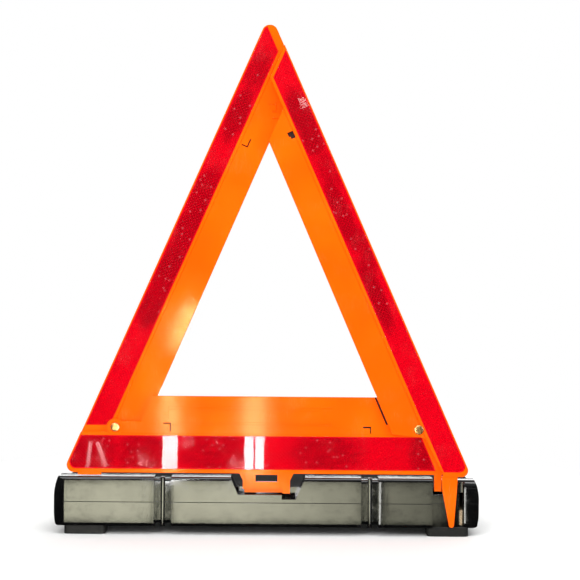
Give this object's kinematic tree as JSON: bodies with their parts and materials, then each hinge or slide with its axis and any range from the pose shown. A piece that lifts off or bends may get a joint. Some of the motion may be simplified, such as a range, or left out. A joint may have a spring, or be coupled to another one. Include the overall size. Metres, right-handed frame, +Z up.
{
  "type": "warning triangle",
  "caption": "Folding roadside warning triangle: three orange arms with red reflector bands, hinged on a sand-weighted black base on rubber feet.",
  "frame": {"origin": "on the ground under the middle of the object's box", "axes": "+Z up, -Y towards the front where the right arm and its spike lie, +X to the right seen from the front"},
  "size_m": [0.465, 0.112, 0.556],
  "materials": {
    "base_plastic": "smooth black with fine scuffs",
    "foot_rubber": "matt black",
    "sand": "dry settled sand",
    "steel": "plain drawn steel",
    "rivet_metal": "bright pressed heads",
    "orange_plastic": "fluorescent orange, satin to glossy",
    "red_reflector": "clear red lens over fine prisms"
  },
  "bodies": {
    "base": {"base_upper_shell": "base_plastic", "base_lower_shell": "base_plastic", "sand_left": "sand", "sand_centre": "sand", "sand_right": "sand", "filler_plug": "base_plastic", "foot_front_left": "foot_rubber", "foot_front_right": "foot_rubber", "foot_rear_left": "foot_rubber", "foot_rear_right": "foot_rubber"},
    "bar": {"bottom_bar": "orange_plastic", "bottom_front_reflector": "red_reflector", "bottom_rear_reflector": "red_reflector", "left_rivet": "rivet_metal", "right_rivet": "rivet_metal", "hinge_pin": "steel"},
    "left": {"left_arm": "orange_plastic", "left_front_reflector": "red_reflector", "left_rear_reflector": "red_reflector"},
    "right": {"right_arm": "orange_plastic", "right_front_reflector": "red_reflector", "right_rear_reflector": "red_reflector"}
  },
  "joints": [
    {"name": "tilt_back", "type": "hinge", "parent": "base", "child": "bar", "pos_m": [0, -0.042, 0.0525], "axis": [-1, 0, 0], "range_deg": [0, 90]},
    {"name": "left_fold", "type": "hinge", "parent": "bar", "child": "left", "pos_m": [-0.165, -0.0443, 0.116], "axis": [0, 1, 0], "range_deg": [0, 66.19]},
    {"name": "right_fold", "type": "hinge", "parent": "bar", "child": "right", "pos_m": [0.165, -0.0535, 0.116], "axis": [0, -1, 0], "range_deg": [0, 66.19]}
  ]
}
